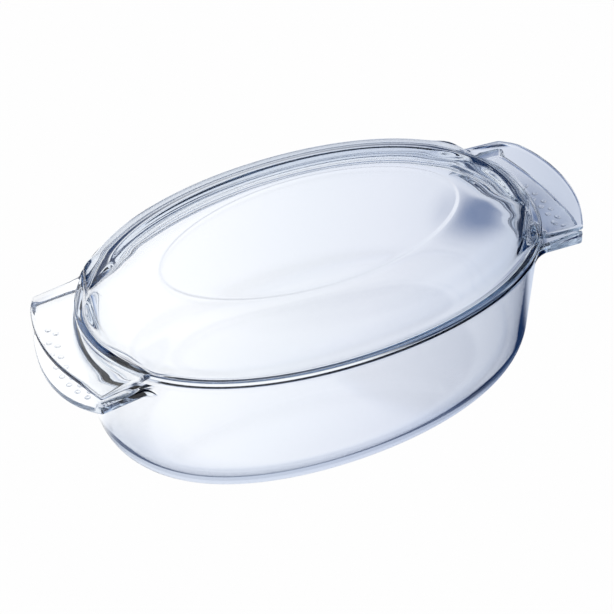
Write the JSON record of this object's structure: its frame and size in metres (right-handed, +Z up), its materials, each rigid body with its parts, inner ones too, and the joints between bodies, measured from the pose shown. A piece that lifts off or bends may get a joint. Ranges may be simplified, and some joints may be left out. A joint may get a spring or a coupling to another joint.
{
  "type": "covered casserole dish",
  "caption": "Oval pressed-glass casserole dish with scoop-shaped end handles and a domed lift-off lid with arched handles above them.",
  "frame": {"origin": "middle of the dish's underside, on the table, with the lid in place", "axes": "+Z up; +X along the long axis, through both handles; +Y across, towards a long side"},
  "size_m": [0.385, 0.214, 0.1386],
  "materials": {
    "clear_glass": "clear pressed borosilicate glass, fire-polished, with a faint cool tint in its thickness"
  },
  "bodies": {
    "dish": {"dish": "clear_glass"},
    "lid": {"lid": "clear_glass"}
  },
  "joints": [
    {"name": "lid_lift", "type": "slide", "parent": "dish", "child": "lid", "axis": [0, 0, 1], "range_m": [0, 0.12]}
  ]
}
